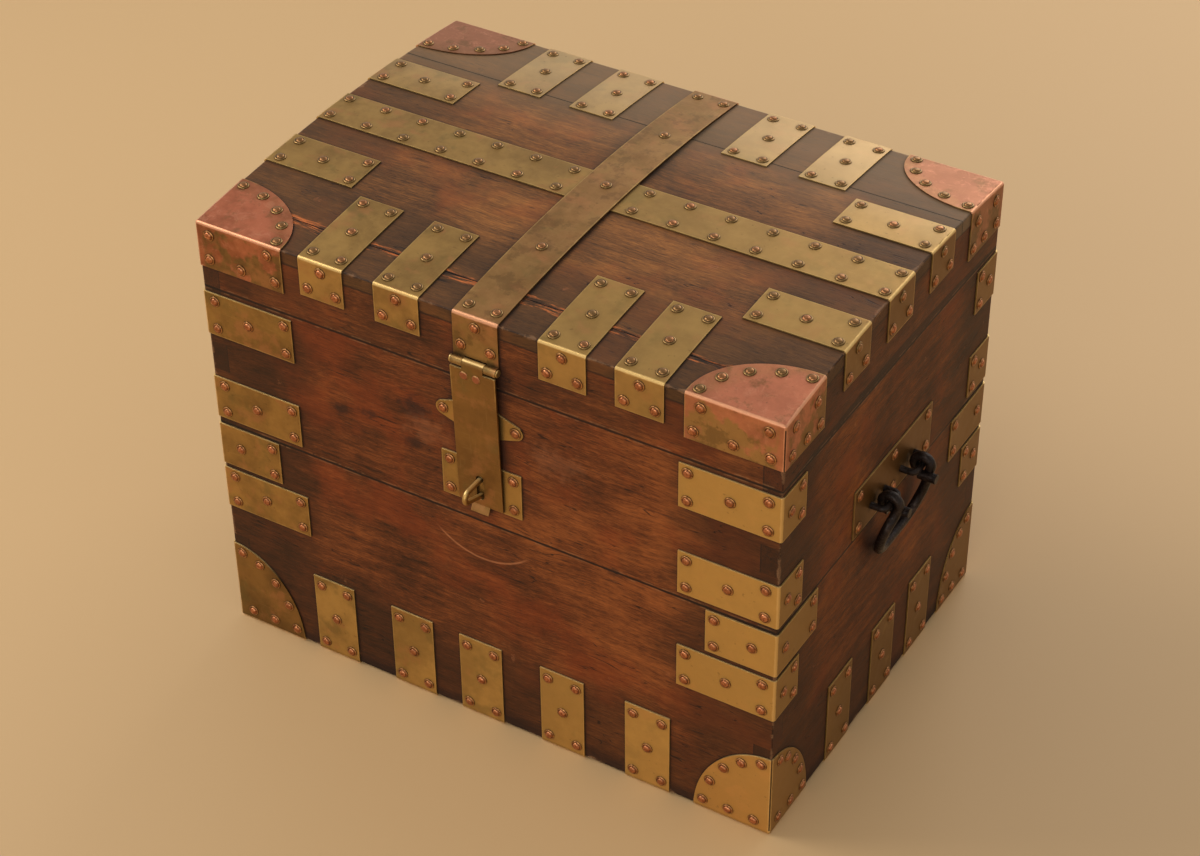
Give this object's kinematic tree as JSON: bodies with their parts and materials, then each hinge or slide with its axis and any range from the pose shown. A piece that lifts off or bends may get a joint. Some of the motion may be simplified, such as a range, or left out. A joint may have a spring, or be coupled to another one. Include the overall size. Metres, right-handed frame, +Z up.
{
  "type": "campaign trunk",
  "caption": "Brass-bound wooden trunk with a crowned hinged lid, riveted straps and corner caps, a slotted hasp over a padlock staple and iron drop handles on its ends.",
  "frame": {"origin": "on the floor, under the centre of the overall box in plan, staple, hinges and handles included", "axes": "+X to the trunk's right hand end seen from its front, -Y out of the front, +Z up"},
  "size_m": [0.701, 0.4906, 0.515],
  "materials": {
    "lid_wood": "worn, waxed",
    "chest_wood": "worn, waxed",
    "brass": "tarnished",
    "cap_brass": "tarnished, copper tinted",
    "copper": "hammered, worn",
    "iron": "forged, rusted"
  },
  "bodies": {
    "chest": {"back_foot_straps": "brass", "chest_back_lower_board": "chest_wood", "chest_back_upper_board": "chest_wood", "chest_bottom_boards": "chest_wood", "chest_front_lower_board": "chest_wood", "chest_front_upper_board": "chest_wood", "chest_hinge_leaves": "brass", "chest_left_lower_board": "chest_wood", "chest_left_upper_board": "chest_wood", "chest_right_lower_board": "chest_wood", "chest_right_upper_board": "chest_wood", "chest_rivets": "copper", "corner_straps_back_left": "brass", "corner_straps_back_right": "brass", "corner_straps_front_left": "brass", "corner_straps_front_right": "brass", "foot_cap_back_left": "brass", "foot_cap_back_right": "brass", "foot_cap_front_left": "brass", "foot_cap_front_right": "brass", "front_foot_straps": "brass", "hasp_backing_plate": "brass", "hinge_pins": "brass", "left_foot_straps": "brass", "left_handle_eyes": "iron", "left_handle_plate": "brass", "right_foot_straps": "brass", "right_handle_eyes": "iron", "right_handle_plate": "brass", "staple": "brass", "staple_plate": "brass"},
    "lid": {"hasp_pin": "brass", "hasp_strap": "brass", "lid_back_rail": "lid_wood", "lid_back_straps": "brass", "lid_cap_back_left": "cap_brass", "lid_cap_back_right": "cap_brass", "lid_cap_front_left": "cap_brass", "lid_cap_front_right": "cap_brass", "lid_cross_strap": "brass", "lid_front_rail": "lid_wood", "lid_front_straps": "brass", "lid_hinge_straps": "brass", "lid_left_rail": "lid_wood", "lid_left_straps": "brass", "lid_right_rail": "lid_wood", "lid_right_straps": "brass", "lid_rivets": "copper", "lid_top_front_board": "lid_wood", "lid_top_middle_board": "lid_wood", "lid_top_rear_board": "lid_wood"},
    "hasp": {"hasp_plate": "brass", "hasp_rivets": "copper"},
    "right_bail": {"right_bail": "iron"},
    "left_bail": {"left_bail": "iron"}
  },
  "joints": [
    {"name": "lid_hinge", "type": "hinge", "parent": "chest", "child": "lid", "pos_m": [0, 0.24027, 0.424], "axis": [-1, 0, 0], "range_deg": [0, 110]},
    {"name": "hasp_hinge", "type": "hinge", "parent": "lid", "child": "hasp", "pos_m": [0, -0.21682, 0.447], "axis": [-1, 0, 0], "range_deg": [0, 152]},
    {"name": "right_bail_hinge", "type": "hinge", "parent": "chest", "child": "right_bail", "pos_m": [0.3325, 0.01947, 0.281], "axis": [0, -1, 0], "range_deg": [0, 130]},
    {"name": "left_bail_hinge", "type": "hinge", "parent": "chest", "child": "left_bail", "pos_m": [-0.3325, 0.01947, 0.281], "axis": [0, 1, 0], "range_deg": [0, 130]}
  ]
}
